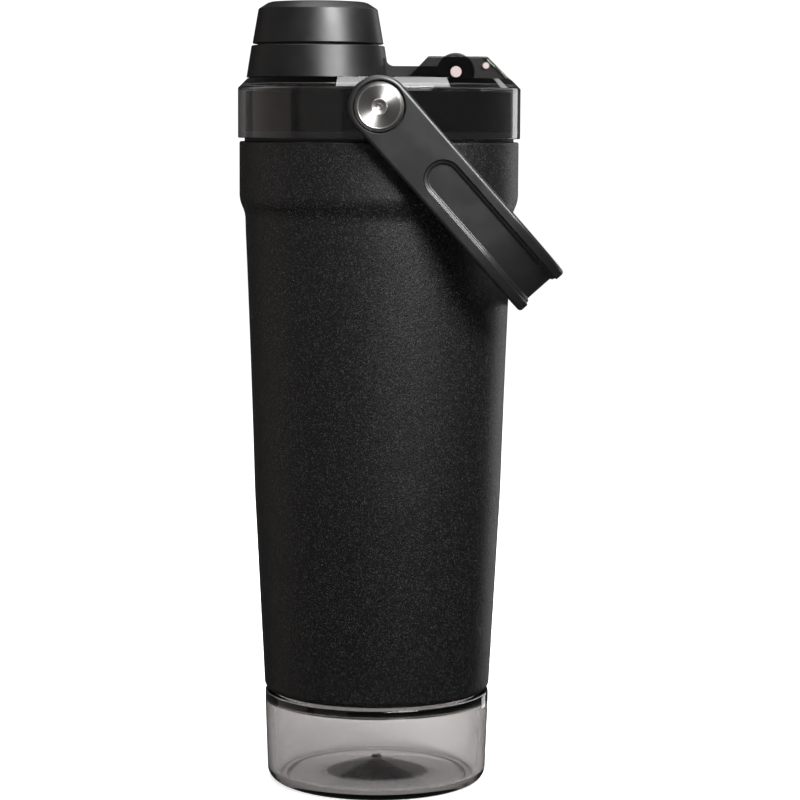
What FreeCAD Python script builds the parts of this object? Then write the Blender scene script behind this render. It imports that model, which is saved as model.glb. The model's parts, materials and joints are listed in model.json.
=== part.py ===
import FreeCAD, Part
import math
import os

import Sketcher

# A protein shaker bottle: a double-wall steel body, a screw-on smoke lid with an off-centre spout, a
# tethered screw cap, a bail handle on two rivets, a mixing grid and a clear storage jar under the base.
# Millimetres, +Z up. The origin is on the bottle's axis, at the level of the surface it stands on.
# +X is the side of the cap's hinge, and -Y is the front.

doc = FreeCAD.newDocument("shaker_bottle")
sheet = doc.addObject("Spreadsheet::Sheet", "dims")


# ---------------------------------------------------------------- sizes

class Size:
    """A number together with the spreadsheet formula that gives it."""

    def __init__(self, value, formula):
        self.value = float(value)
        self.formula = formula

    def join(self, sign, other, value):
        return Size(value, f"({self.formula} {sign} {other.formula})")

    def __add__(self, other):
        other = sized(other)
        return self.join("+", other, self.value + other.value)

    def __sub__(self, other):
        other = sized(other)
        return self.join("-", other, self.value - other.value)

    def __mul__(self, other):
        other = sized(other)
        return self.join("*", other, self.value * other.value)

    def __truediv__(self, other):
        other = sized(other)
        return self.join("/", other, self.value / other.value)

    def __radd__(self, other):
        return sized(other) + self

    def __rsub__(self, other):
        return sized(other) - self

    def __neg__(self):
        return self * -1


def sized(number):
    """A plain number, or a Size, as a Size."""
    return number if isinstance(number, Size) else Size(number, repr(float(number)))


def dim(alias, value, note):
    """Put a driving dimension in the sheet and return it."""
    row = dim.row = dim.row + 1
    sheet.set(f"A{row}", note)
    sheet.set(f"B{row}", str(value))
    sheet.setAlias(f"B{row}", alias)
    return Size(value, f"dims.{alias}")


dim.row = 0

# Heights, from the surface the bottle stands on
jar_top = dim("jar_top", 29.2, "shoulder of the storage jar")
jar_neck_top = dim("jar_neck_top", 40.1, "rim of the jar's neck")
body_foot = dim("body_foot", 29.7, "underside of the steel body")
knee_height = dim("knee_height", 93.4, "where the wall's taper grows slimmer")
taper_top = dim("taper_top", 179.5, "top of the slim tapered wall")
band_foot = dim("band_foot", 187.7, "foot of the wide top band")
body_top = dim("body_top", 204.1, "lip of the steel body")
collar_foot = dim("collar_foot", 205.1, "lower edge of the lid collar")
collar_edge = dim("collar_edge", 220.7, "foot of the collar's chamfer")
deck = dim("deck", 223.7, "top face of the lid")
ring_foot = dim("ring_foot", 223.95, "underside of the cap's ring")
ring_top = dim("ring_top", 233.95, "top of the cap's ring")
knob_foot = dim("knob_foot", 234.5, "lower edge of the turning cap")
cap_top = dim("cap_top", 247.65, "top of the turning cap")
spout_top = dim("spout_top", 233.0, "drinking rim of the spout")
pivot_height = dim("pivot_height", 214.7, "axis of the handle's rivets")
hinge_height = dim("hinge_height", 225.9, "axis of the cap's hinge pin")

# Steel body
sheet_steel = dim("sheet_steel", 0.8, "thickness of the steel walls")
foot_radius = dim("foot_radius", 35.95, "outside radius of the body at its foot")
taper_radius = dim("taper_radius", 42.2, "outside radius at the top of the taper")
band_radius = dim("band_radius", 44.0, "outside radius of the top band")
knee_radius = dim("knee_radius", 39.2, "outside radius where the taper grows slimmer")
taper_flare = dim("taper_flare", 5300.0, "radius of the upper taper's slight hollow")
foot_round = dim("foot_round", 2.2, "rounding of the body's foot")
wall_depth = dim("wall_depth", 3.9, "from the outer wall's outside to the liner's inside")
liner_foot = dim("liner_foot", 45.9, "underside of the liner")
liner_round = dim("liner_round", 9.0, "inside rounding of the liner's bottom")
mouth_radius = dim("mouth_radius", 40.1, "inside radius of the mouth")

# Screw threads, the same form on the lid and on the jar
thread_lead = dim("thread_lead", 4.0, "rise of a thread in one turn")
thread_depth = dim("thread_depth", 1.35, "height of a thread ridge")
thread_root = dim("thread_root", 2.0, "width of a thread ridge at its root")
thread_crest = dim("thread_crest", 1.0, "width of a thread ridge at its crest")
thread_turns = dim("thread_turns", 1.5, "length of the lid's thread in turns")
jar_turns = dim("jar_turns", 1.25, "length of the jar's thread in turns")
plug_radius = dim("plug_radius", 38.2, "outside radius of the lid's plug under its thread")
neck_radius = dim("neck_radius", 29.6, "outside radius of the jar's neck under its thread")
socket_bore = dim("socket_bore", 31.5, "inside radius of the socket for the jar")

# Storage jar
jar_radius = dim("jar_radius", 35.85, "outside radius of the jar at its shoulder")
jar_foot_radius = dim("jar_foot_radius", 34.95, "outside radius of the jar above its rounded foot")
jar_wall = dim("jar_wall", 2.8, "thickness of the jar's wall")
jar_round = dim("jar_round", 4.2, "outside rounding of the jar's foot")
rest_inner = dim("rest_inner", 27.5, "inner radius of the ring that the jar stands on")
jar_rise = dim("jar_rise", 5.0, "rise of the jar's domed floor at its middle")
neck_bore = dim("neck_bore", 26.8, "inside radius of the jar's neck")

# Lid
collar_radius = dim("collar_radius", 44.45, "outside radius of the lid collar")
collar_wall = dim("collar_wall", 2.2, "thickness of the collar's wall")
deck_thickness = dim("deck_thickness", 2.4, "thickness of the lid's top")
plug_foot = dim("plug_foot", 190.2, "lower edge of the lid's plug")
plug_wall = dim("plug_wall", 2.0, "thickness of the plug's wall and floor")
spout_offset = dim("spout_offset", 19.3, "distance of the spout from the bottle's axis")
spout_radius = dim("spout_radius", 14.8, "outside radius of the spout")
spout_bore = dim("spout_bore", 12.6, "inside radius of the spout")
lug_reach = dim("lug_reach", 1.7, "how far the spout's lugs stand out")
lug_width = dim("lug_width", 9.0, "width of a lug")

# Cap, ring, hinge
ring_low_radius = dim("ring_low_radius", 22.5, "outside radius of the cap's ring at its foot")
ring_high_radius = dim("ring_high_radius", 20.9, "outside radius of the cap's ring at its top")
ring_bore = dim("ring_bore", 19.3, "inside radius of the cap's ring")
knob_low_radius = dim("knob_low_radius", 20.6, "radius of the turning cap at its foot")
knob_high_radius = dim("knob_high_radius", 18.6, "radius of the turning cap below its chamfer")
knob_chamfer = dim("knob_chamfer", 2.9, "width of the chamfer round the cap's top")
knob_shoulder = dim("knob_shoulder", 2.3, "from the top of the cap down to its chamfer's foot")
skirt_radius = dim("skirt_radius", 19.0, "outside radius of the cap's inner skirt")
skirt_bore = dim("skirt_bore", 17.2, "inside radius of the cap's inner skirt")
hinge_reach = dim("hinge_reach", 43.1, "from the spout's axis to the hinge pin")
knuckle_radius = dim("knuckle_radius", 6.0, "radius of the hinge knuckle")
knuckle_half = dim("knuckle_half", 6.4, "half the width of the knuckle")
arm_half = dim("arm_half", 5.8, "half the width of the cap's arm")
arm_foot = dim("arm_foot", 224.3, "underside of the cap's arm")
arm_top = dim("arm_top", 227.7, "top of the cap's arm")
arm_fillet = dim("arm_fillet", 2.5, "fillet between the ring and its arm")
ear_half = dim("ear_half", 11.0, "from the middle to the outside of a hinge ear")
ear_gap_half = dim("ear_gap_half", 7.0, "half the gap between the hinge ears")
ear_top = dim("ear_top", 230.65, "top of the hinge ears")
pin_radius = dim("pin_radius", 1.7, "radius of the hinge pin")
pin_play = dim("pin_play", 0.05, "radial clearance of the running fits")
stop_radius = dim("stop_radius", 1.0, "radius of the pin that stops the open cap")
stop_reach = dim("stop_reach", 33.1, "distance of the stop pin from the bottle's axis")
stop_height = dim("stop_height", 227.85, "height of the stop pin")

# Handle and its pivots
handle_angle = dim("handle_angle", 48.2, "how far the folded handle points below level, in degrees")
handle_reach = dim("handle_reach", 76.8, "from the pivot to the outside of the grip")
handle_inner = dim("handle_inner", 45.2, "from the middle to the inside of an arm")
handle_thickness = dim("handle_thickness", 4.0, "thickness of the handle's strap")
handle_width = dim("handle_width", 18.2, "width of the strap")
handle_corner = dim("handle_corner", 24.0, "outside radius of the handle's bends")
boss_radius = dim("boss_radius", 9.35, "radius of the strap's ends")
recess_depth = dim("recess_depth", 1.5, "depth of the channel along the strap")
recess_rim = dim("recess_rim", 3.9, "width of the rims beside the channel")
recess_start = dim("recess_start", 23.5, "from the pivot to the channel's rounded end")
rivet_radius = dim("rivet_radius", 7.45, "radius of a rivet's head")
rivet_seat = dim("rivet_seat", 7.9, "radius of the counterbore for a rivet's head")
rivet_head = dim("rivet_head", 1.9, "thickness of a rivet's head")
rivet_shank = dim("rivet_shank", 3.25, "radius of a rivet's shank")
insert_radius = dim("insert_radius", 4.8, "outside radius of the insert that holds a rivet")
insert_depth = dim("insert_depth", 37.8, "from the middle to the inner end of an insert")
pad_face = dim("pad_face", 44.6, "from the middle to the collar's pivot pad")

doc.recompute()


# ---------------------------------------------------------------- building blocks

def new_body(label):
    """An empty sub-part."""
    body = doc.addObject("PartDesign::Body", label)
    body.Label = label
    return body


def new_sketch(body, plane):
    """A sketch on one of the body's own origin planes."""
    sketch = body.newObject("Sketcher::SketchObject", f"{body.Name}_sketch")
    faces = [feature for feature in body.Origin.OriginFeatures if feature.Role == plane]
    sketch.AttachmentSupport = [(faces[0], "")]
    sketch.MapMode = "FlatFace"
    return sketch


def fix_point(sketch, curve, end, x, y):
    """Hold one end of a curve at x, y."""
    for name, axis, size in (("DistanceX", -2, sized(x)), ("DistanceY", -1, sized(y))):
        if size.value == 0:
            sketch.addConstraint(Sketcher.Constraint("PointOnObject", curve, end, axis))
            continue
        number = sketch.addConstraint(Sketcher.Constraint(name, curve, end, size.value))
        sketch.setExpression(f"Constraints[{number}]", size.formula)


def arc_between(start, finish, bend):
    """The arc from start to finish; a positive bend turns left, a negative one turns right."""
    if bend < 0:
        start, finish = finish, start
    chord = finish - start
    middle = (start + finish) * 0.5
    side = FreeCAD.Vector(-chord.y, chord.x, 0).normalize()
    centre = middle + side * math.sqrt(max(bend * bend - chord.Length ** 2 / 4, 0))
    first = math.atan2(start.y - centre.y, start.x - centre.x)
    last = math.atan2(finish.y - centre.y, finish.x - centre.x)
    circle = Part.Circle(centre, FreeCAD.Vector(0, 0, 1), abs(bend))
    return Part.ArcOfCircle(circle, first, last)


def closed_outline(sketch, corners):
    """Draw a closed outline. A corner is (x, y), or (x, y, bend) where an arc leads to the next one."""
    first = sketch.GeometryCount
    count = len(corners)
    places = [FreeCAD.Vector(sized(c[0]).value, sized(c[1]).value, 0) for c in corners]
    bends = [sized(c[2]) if len(c) == 3 else None for c in corners]
    for i, bend in enumerate(bends):
        start, finish = places[i], places[(i + 1) % count]
        curve = arc_between(start, finish, bend.value) if bend else Part.LineSegment(start, finish)
        sketch.addGeometry(curve, False)
    for i, bend in enumerate(bends):
        before = (i - 1) % count
        head = 2 if bend and bend.value < 0 else 1
        tail = 1 if bends[before] and bends[before].value < 0 else 2
        sketch.addConstraint(Sketcher.Constraint("Coincident", first + before, tail, first + i, head))
        fix_point(sketch, first + i, head, corners[i][0], corners[i][1])
        if bend:
            size = bend if bend.value > 0 else -bend
            number = sketch.addConstraint(Sketcher.Constraint("Radius", first + i, size.value))
            sketch.setExpression(f"Constraints[{number}]", size.formula)


def circle_outline(sketch, x, y, radius):
    """Draw a circle."""
    centre = FreeCAD.Vector(sized(x).value, sized(y).value, 0)
    circle = Part.Circle(centre, FreeCAD.Vector(0, 0, 1), sized(radius).value)
    curve = sketch.addGeometry(circle, False)
    fix_point(sketch, curve, 3, x, y)
    number = sketch.addConstraint(Sketcher.Constraint("Radius", curve, sized(radius).value))
    sketch.setExpression(f"Constraints[{number}]", sized(radius).formula)


def rectangle(x_low, x_high, y_low, y_high):
    """The four corners of a rectangle."""
    return [(x_low, y_low), (x_high, y_low), (x_high, y_high), (x_low, y_high)]


def draw(body, plane, shapes):
    """A sketch of outlines, each a list of corners or a circle as (x, y, radius)."""
    sketch = new_sketch(body, plane)
    for shape in shapes:
        if isinstance(shape, tuple):
            circle_outline(sketch, *shape)
        else:
            closed_outline(sketch, shape)
    return sketch


def turn(body, corners, cut=False):
    """Revolve an outline in the XZ plane about the body's Z axis."""
    sketch = draw(body, "XZ_Plane", [corners])
    kind = "PartDesign::Groove" if cut else "PartDesign::Revolution"
    feature = body.newObject(kind, f"{body.Name}_turned")
    feature.Profile = sketch
    feature.ReferenceAxis = (sketch, ["V_Axis"])
    feature.Angle = 360
    return feature


def bar(body, shapes, length, plane="XZ_Plane", cut=False):
    """Pad or cut outlines to the same depth on both sides of an origin plane."""
    feature = body.newObject("PartDesign::Pocket" if cut else "PartDesign::Pad", f"{body.Name}_bar")
    feature.Profile = draw(body, plane, shapes)
    feature.SideType = "Symmetric"
    feature.Length = sized(length).value
    feature.setExpression("Length", sized(length).formula)
    return feature


def block(body, shapes, low, high, cut=False):
    """Pad or cut outlines of the XY plane from one height to another."""
    sketch = draw(body, "XY_Plane", shapes)
    sketch.setExpression(".AttachmentOffset.Base.z", sized(low).formula)
    feature = body.newObject("PartDesign::Pocket" if cut else "PartDesign::Pad", f"{body.Name}_block")
    feature.Profile = sketch
    feature.Reversed = cut
    height = sized(high) - sized(low)
    feature.Length = height.value
    feature.setExpression("Length", height.formula)
    return feature


def thread(body, wall, start, turns, inward=False):
    """Wind a trapezoid ridge on a round wall, rising to the left as seen from the side."""
    root = wall + 0.25 if inward else wall - 0.25
    crest = wall - thread_depth if inward else wall + thread_depth
    half_root = thread_root / 2
    half_crest = thread_crest / 2
    corners = [(root, start - half_root), (crest, start - half_crest),
               (crest, start + half_crest), (root, start + half_root)]
    sketch = draw(body, "XZ_Plane", [corners])
    ridge = body.newObject("PartDesign::AdditiveHelix", f"{body.Name}_thread")
    ridge.Profile = sketch
    ridge.ReferenceAxis = (sketch, ["V_Axis"])
    ridge.Mode = "pitch-turns-angle"
    ridge.Pitch = thread_lead.value
    ridge.setExpression("Pitch", thread_lead.formula)
    ridge.Turns = turns.value
    ridge.setExpression("Turns", turns.formula)
    ridge.Angle = 0
    return ridge


def place(body, x=0, y=0, z=0, axis=None, angle=0):
    """Set a body's Placement, its position bound to the sheet."""
    body.Placement.Rotation = FreeCAD.Rotation(axis or FreeCAD.Vector(0, 0, 1), sized(angle).value)
    for letter, size in (("x", x), ("y", y), ("z", z)):
        if isinstance(size, Size):
            body.setExpression(f".Placement.Base.{letter}", size.formula)


# ---------------------------------------------------------------- storage jar and its socket

def storage_jar():
    """Clear jar with a domed floor and an outside thread on its neck; the whole bottle stands on it."""
    body = new_body("storage_jar")
    inside = jar_radius - jar_wall
    floor = jar_rise + 2.4
    shoulder = 2.0
    dome = 95.0
    turn(body, [
        (0, jar_rise, dome),
        (rest_inner, 0),
        (jar_foot_radius - jar_round + 0.35, 0, jar_round),
        (jar_foot_radius, jar_round - 0.35),
        (jar_radius, jar_top - 4.0),
        (jar_radius, jar_top - 1.6, 1.6),
        (jar_radius - 1.6, jar_top),
        (neck_radius, jar_top),
        (neck_radius, jar_neck_top - 0.5),
        (neck_radius - 0.5, jar_neck_top),
        (neck_bore, jar_neck_top),
        (neck_bore, jar_top - 0.4, 1.6),
        (neck_bore + 1.6, jar_top - shoulder),
        (inside - 2.0, jar_top - shoulder, -2.0),
        (inside, jar_top - shoulder - 2.0),
        (jar_foot_radius - jar_wall, jar_round + 3.4, -4.0),
        (jar_foot_radius - jar_wall - 4.6, 3.4),
        (rest_inner - 2.0, 3.6, -dome),
        (0, floor),
    ])
    turn(body, [(0, floor - 0.5), (1.6, floor - 0.5), (1.3, floor + 0.3), (0, floor + 0.3)])
    thread(body, neck_radius, jar_top + 4.6, jar_turns)


def base_socket():
    """Moulded cup under the steel body, with the inside thread that holds the jar."""
    body = new_body("base_socket")
    outside = foot_radius - foot_round - 0.2
    roof = jar_neck_top + 0.9
    turn(body, [
        (socket_bore, body_foot + 0.2), (outside, body_foot + 0.2), (outside, roof - 1.4),
        (foot_radius - 0.9, roof - 1.4), (foot_radius - 0.9, roof + 1.4), (0, roof + 1.4), (0, roof),
        (socket_bore, roof),
    ])
    thread(body, socket_bore, jar_top + 2.6, jar_turns, inward=True)


def jar_seal():
    """Flat silicone ring under the socket's roof, for the jar's rim to close on."""
    body = new_body("jar_seal")
    turn(body, rectangle(neck_bore + 0.4, neck_radius + 0.6, jar_neck_top + 0.05, jar_neck_top + 0.85))


# ---------------------------------------------------------------- steel body

def outer_shell():
    """Powder-coated outer wall: rounded foot, taper in two stretches, wide band, lip turned inwards."""
    body = new_body("outer_shell")
    half_rise = (band_foot - taper_top) / 2
    half_step = (band_radius - taper_radius) / 2
    swell = (half_rise * half_rise + half_step * half_step) / (half_step * 2)
    lip = band_radius - 0.6
    inset = sheet_steel
    turn(body, [
        (foot_radius - foot_round, body_foot, foot_round),
        (foot_radius, body_foot + foot_round),
        (knee_radius, knee_height, -taper_flare),
        (taper_radius, taper_top, -swell),
        (taper_radius + half_step, taper_top + half_rise, swell),
        (band_radius, band_foot),
        (band_radius, body_top - 0.6, 0.6),
        (lip, body_top),
        (mouth_radius + inset, body_top),
        (mouth_radius + inset, body_top - inset),
        (band_radius - inset, body_top - inset),
        (band_radius - inset, band_foot, -(swell - inset)),
        (taper_radius + half_step - inset, taper_top + half_rise, swell + inset),
        (taper_radius - inset, taper_top, taper_flare + inset),
        (knee_radius - inset, knee_height),
        (foot_radius - inset, body_foot + foot_round, -(foot_round - inset)),
        (foot_radius - foot_round, body_foot + inset),
    ])


def inner_liner():
    """Bare steel vessel that holds the drink, with the mouth's inside thread."""
    body = new_body("inner_liner")
    foot_inside = foot_radius - wall_depth + 0.9
    top_inside = taper_radius - wall_depth
    wall = sheet_steel
    turn(body, [
        (0, liner_foot),
        (foot_inside - liner_round + wall, liner_foot, liner_round),
        (foot_inside + wall, liner_foot + liner_round),
        (top_inside + wall, taper_top),
        (mouth_radius + wall, band_foot - 1.5),
        (mouth_radius + wall, body_top),
        (mouth_radius, body_top),
        (mouth_radius, band_foot - 1.5),
        (top_inside, taper_top),
        (foot_inside, liner_foot + liner_round, -(liner_round - wall)),
        (foot_inside - liner_round + wall, liner_foot + wall),
        (0, liner_foot + wall),
    ])
    thread(body, mouth_radius, plug_foot + 4.2, thread_turns, inward=True)


def base_plate():
    """Dished disc welded into the outer wall, which closes the vacuum space from below."""
    body = new_body("base_plate")
    low = jar_neck_top + 2.6
    rim = foot_radius - 0.35
    turn(body, [(0, low), (rim, low), (rim + 0.1, low + 2.0), (rim - 0.7, low + 2.0),
                (rim - 0.8, low + 0.7), (0, low + 0.7)])


def getter_pill():
    """Small gas-absorbing pellet in the vacuum space."""
    body = new_body("getter_pill")
    low = jar_neck_top + 3.3
    turn(body, rectangle(0, 5.0, low, low + 1.2))
    place(body, x=foot_radius - 16.0)


# ---------------------------------------------------------------- lid

def lid_gasket():
    """Silicone ring round the plug, pressed between the lid and the body's lip."""
    body = new_body("lid_gasket")
    turn(body, rectangle(plug_radius + 0.1, mouth_radius + 2.3, body_top + 0.05, collar_foot - 0.05))


def lid_plug():
    """Inner moulding of the lid: floor with the drink hole, and the skirt with the outside thread."""
    body = new_body("lid_plug")
    floor = collar_foot + 0.1
    turn(body, [
        (0, floor), (plug_radius - plug_wall, floor), (plug_radius - plug_wall, plug_foot),
        (plug_radius - 0.8, plug_foot), (plug_radius, plug_foot + 0.8), (plug_radius, floor),
        (collar_radius - collar_wall - 0.1, floor), (collar_radius - collar_wall - 0.1, floor + plug_wall),
        (0, floor + plug_wall),
    ])
    thread(body, plug_radius, plug_foot + 2.2, thread_turns)
    block(body, [(-spout_offset, 0, spout_bore)], plug_foot, floor + 9.0, cut=True)


def lid_shell():
    """Smoke-tinted collar and deck, with the two hinge ears and the seats for the handle's pivots."""
    body = new_body("lid_shell")
    chamfer = deck - collar_edge
    inside = collar_radius - collar_wall
    turn(body, [
        (inside, collar_foot), (collar_radius - 0.4, collar_foot, 0.4),
        (collar_radius, collar_foot + 0.4), (collar_radius, collar_edge),
        (collar_radius - chamfer, deck), (0, deck), (0, deck - deck_thickness),
        (inside - 1.4, deck - deck_thickness), (inside, deck - deck_thickness - 1.4),
    ])
    ears = [(8.3, deck - 0.3), (44.0, deck - 0.3), (44.0, ear_top), (15.2, ear_top)]
    bar(body, [ears], ear_half * 2)
    turn(body, [(collar_radius, collar_edge), (collar_radius + 9.0, collar_edge),
                (collar_radius + 9.0, ear_top + 1.0),
                (collar_radius - (ear_top + 1.0 - collar_edge), ear_top + 1.0)], cut=True)
    bar(body, [rectangle(6.0, 48.0, deck, ear_top + 1.0)], ear_gap_half * 2, cut=True)
    hinge = hinge_reach - spout_offset
    bar(body, [rectangle(hinge - 7.6, hinge + 7.6, deck - 5.3, deck - 1.0)], knuckle_half * 2 + 4.0)
    bar(body, [(hinge, hinge_height, knuckle_radius + 0.35)], knuckle_half * 2 + 0.8, cut=True)
    bar(body, [(hinge, hinge_height, pin_radius)], ear_half * 2 + 2.0, cut=True)
    bar(body, [(stop_reach, stop_height, stop_radius)], ear_half * 2 + 2.0, cut=True)
    bar(body, [(0, pivot_height, insert_radius + 1.7)], (collar_radius - 1.0) * 2)
    bar(body, [(0, pivot_height, insert_radius + 0.8)], pad_face * 2)
    bar(body, [(0, pivot_height, insert_radius + 1.8)], insert_depth * 2 - 0.4, cut=True)
    bar(body, [(0, pivot_height, insert_radius)], pad_face * 2 + 4.0, cut=True)
    block(body, [(-spout_offset, 0, spout_radius + 0.05)], collar_edge - 6.0, deck + 2.0, cut=True)


def spout():
    """Drinking spout: a tube with a foot flange under the deck and two lugs that the cap locks on."""
    body = new_body("spout")
    foot = collar_foot + 0.1 + plug_wall
    seat = deck - deck_thickness - 2.4
    turn(body, [
        (0, foot), (spout_radius + 3.0, foot), (spout_radius + 3.0, foot + 1.6),
        (spout_radius, foot + 1.6), (spout_radius, seat - 1.4), (spout_radius + 2.4, seat - 1.4),
        (spout_radius + 2.4, seat), (spout_radius, seat), (spout_radius, spout_top - 0.9, 0.9),
        (spout_radius - 0.9, spout_top), (0, spout_top),
    ])
    half = lug_width / 2
    low = ring_foot + 4.8
    reach = spout_radius + lug_reach + 0.1
    block(body, [rectangle(-half, half, -reach, reach)], low, low + 2.0)
    turn(body, rectangle(reach - 0.1, reach + 4.0, low - 1.0, low + 3.0), cut=True)
    turn(body, rectangle(0, spout_bore, foot - 1.0, spout_top + 1.0), cut=True)
    place(body, x=-spout_offset)


def spout_o_ring():
    """Silicone ring that seals the spout against the underside of the deck."""
    body = new_body("spout_o_ring")
    seat = deck - deck_thickness - 2.4
    section = 1.15
    middle = spout_radius + section + 0.05
    sketch = draw(body, "XZ_Plane", [(middle, seat + section + 0.02, section)])
    ring = body.newObject("PartDesign::Revolution", "spout_o_ring_turned")
    ring.Profile = sketch
    ring.ReferenceAxis = (sketch, ["V_Axis"])
    ring.Angle = 360
    place(body, x=-spout_offset)


# ---------------------------------------------------------------- cap and hinge

def cap_ring():
    """Ring round the spout with its arm and knuckle; it carries the turning cap on the hinge."""
    body = new_body("cap_ring")
    groove_low = ring_foot + 2.4
    turn(body, [
        (ring_bore, ring_foot), (ring_low_radius - 0.3, ring_foot, 0.3), (ring_low_radius, ring_foot + 0.3),
        (ring_high_radius, ring_top - 0.5, 0.5), (ring_high_radius - 0.5, ring_top), (ring_bore, ring_top),
        (ring_bore, groove_low + 1.9), (ring_bore + 0.6, groove_low + 1.6),
        (ring_bore + 0.6, groove_low + 0.3), (ring_bore, groove_low),
    ])
    edge = ring_high_radius + 0.45
    bar(body, [[
        (spout_offset + 0.3, arm_foot), (hinge_reach, arm_foot), (hinge_reach, arm_top),
        (edge + arm_fillet, arm_top, -arm_fillet), (edge, arm_top + arm_fillet),
        (spout_offset + 0.3, arm_top + arm_fillet),
    ]], arm_half * 2)
    bar(body, [(hinge_reach, hinge_height, knuckle_radius)], knuckle_half * 2)
    bar(body, [(hinge_reach, hinge_height, pin_radius + pin_play)], knuckle_half * 2 + 2.0, cut=True)
    place(body, x=-spout_offset)


def cap_knob():
    """Outer skin of the turning cap, which the hand grips."""
    body = new_body("cap_knob")
    wall = 1.6
    inner = knob_high_radius - wall
    turn(body, [
        (skirt_radius + 0.05, knob_foot), (knob_low_radius - 0.25, knob_foot, 0.25),
        (knob_low_radius, knob_foot + 0.25), (knob_high_radius, cap_top - knob_shoulder),
        (knob_high_radius - knob_chamfer, cap_top - 0.5, 1.2),
        (knob_high_radius - knob_chamfer - 1.0, cap_top - 0.2), (0, cap_top),
        (0, cap_top - wall), (inner - knob_chamfer, cap_top - wall),
        (inner, cap_top - wall - knob_shoulder),
        (skirt_radius + 0.05, knob_foot + 2.9),
    ])
    place(body, x=-spout_offset)


def cap_insert():
    """Inner moulding of the turning cap: roof over the spout, snap bead, and the two locking lugs."""
    body = new_body("cap_insert")
    bead = ring_foot + 2.8
    roof = knob_foot + 0.6
    foot = ring_foot + 1.2
    turn(body, [
        (skirt_bore, foot), (skirt_radius, foot), (skirt_radius, bead), (skirt_radius + 0.5, bead + 0.3),
        (skirt_radius + 0.5, bead + 0.9), (skirt_radius, bead + 1.2), (skirt_radius, roof + 2.0),
        (0, roof + 2.0), (0, roof), (skirt_bore, roof),
    ])
    half = lug_width / 2
    low = ring_foot + 2.5
    lug_bore = spout_radius + 0.8
    block(body, [rectangle(-skirt_bore - 0.4, skirt_bore + 0.4, -half, half)], low, low + 2.0)
    turn(body, rectangle(0, lug_bore, foot - 1.0, roof - 1.0), cut=True)
    place(body, x=-spout_offset)


def cap_seal():
    """Silicone ring under the cap's roof that closes on the spout's rim."""
    body = new_body("cap_seal")
    turn(body, rectangle(spout_bore - 0.6, skirt_bore - 0.3, spout_top + 0.1, knob_foot + 0.55))
    place(body, x=-spout_offset)


def mixing_grid():
    """Slotted plate that snaps up inside the plug and breaks up the powder."""
    body = new_body("mixing_grid")
    low = plug_foot - 4.0
    rim = plug_radius - plug_wall - 0.3
    plate = 1.6
    turn(body, [(0, low), (rim, low), (rim, plug_foot + 6.0), (rim - 1.5, plug_foot + 6.0),
                (rim - 1.5, low + plate), (0, low + plate)])
    inner, middle, outer = 6.0, 18.5, rim.value - 3.0
    for start, finish, count, width in ((inner, middle, 8, 4.0), (middle + 2.0, outer, 16, 4.6)):
        slot = block(body, [rectangle(start, finish, -width / 2, width / 2)], low - 1.0, low + plate + 1.0,
                     cut=True)
        pattern = body.newObject("PartDesign::PolarPattern", "mixing_grid_slots")
        pattern.Originals = [slot]
        pattern.Axis = (slot.Profile[0], ["N_Axis"])
        pattern.Angle = 360
        pattern.Occurrences = count
        body.Tip = pattern
    block(body, [(0, 0, 3.0)], low - 1.0, low + plate + 1.0, cut=True)


def cross_pin(label, radius, x, z, play):
    """Pin through both hinge ears, its ends flush with them."""
    body = new_body(label)
    bar(body, [(x, z, radius)], ear_half * 2 - play)


# ---------------------------------------------------------------- handle

def handle():
    """Strap bent into a U, with a channel round its outside and a seat for a rivet in each end.

    It is drawn pointing along +X from its pivot, then turned down to its folded place.
    """
    body = new_body("handle")
    half = handle_width / 2
    outer = handle_inner + handle_thickness
    bend = handle_corner - handle_thickness
    grip_inner = handle_reach - handle_thickness
    bar(body, [[
        (0, boss_radius, boss_radius), (-boss_radius, 0, boss_radius), (0, -boss_radius),
        (boss_radius * 2.0, -half),
        (handle_reach - 1.2, -half, 1.2), (handle_reach, -half + 1.2),
        (handle_reach, half - 1.2, 1.2), (handle_reach - 1.2, half), (boss_radius * 2.0, half),
    ]], outer * 2)
    bar(body, [[
        (-boss_radius - 2.0, -handle_inner), (grip_inner - bend, -handle_inner, bend),
        (grip_inner, -handle_inner + bend), (grip_inner, handle_inner - bend, bend),
        (grip_inner - bend, handle_inner), (-boss_radius - 2.0, handle_inner),
    ]], handle_width * 2, plane="XY_Plane", cut=True)
    for side in (-1, 1):
        bar(body, [[
            (handle_reach - handle_corner, outer * side, handle_corner * -side),
            (handle_reach, (outer - handle_corner) * side),
            (handle_reach + 3.0, (outer - handle_corner) * side),
            (handle_reach + 3.0, (outer + 3.0) * side),
            (handle_reach - handle_corner, (outer + 3.0) * side),
        ]], handle_width * 2, plane="XY_Plane", cut=True)
    floor = handle_corner - recess_depth
    channel = handle_width - recess_rim * 2
    begin = recess_start + channel / 2
    web = outer - recess_depth
    bar(body, [[
        (begin, -outer - 3.0), (handle_reach + 3.0, -outer - 3.0), (handle_reach + 3.0, outer + 3.0),
        (begin, outer + 3.0), (begin, web), (handle_reach - handle_corner, web, -floor),
        (handle_reach - recess_depth, web - floor), (handle_reach - recess_depth, floor - web, -floor),
        (handle_reach - handle_corner, -web), (begin, -web),
    ]], channel, plane="XY_Plane", cut=True)
    hollow = [(web, channel / 2, begin), (outer - rivet_head - 0.1, rivet_seat, 0)]
    for depth, radius, along in hollow:
        cut_from_outside(body, along, radius, depth)
    bar(body, [(0, 0, rivet_shank + pin_play)], outer * 2 + 4.0, cut=True)
    place(body, z=pivot_height, axis=FreeCAD.Vector(0, 1, 0), angle=handle_angle)


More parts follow.
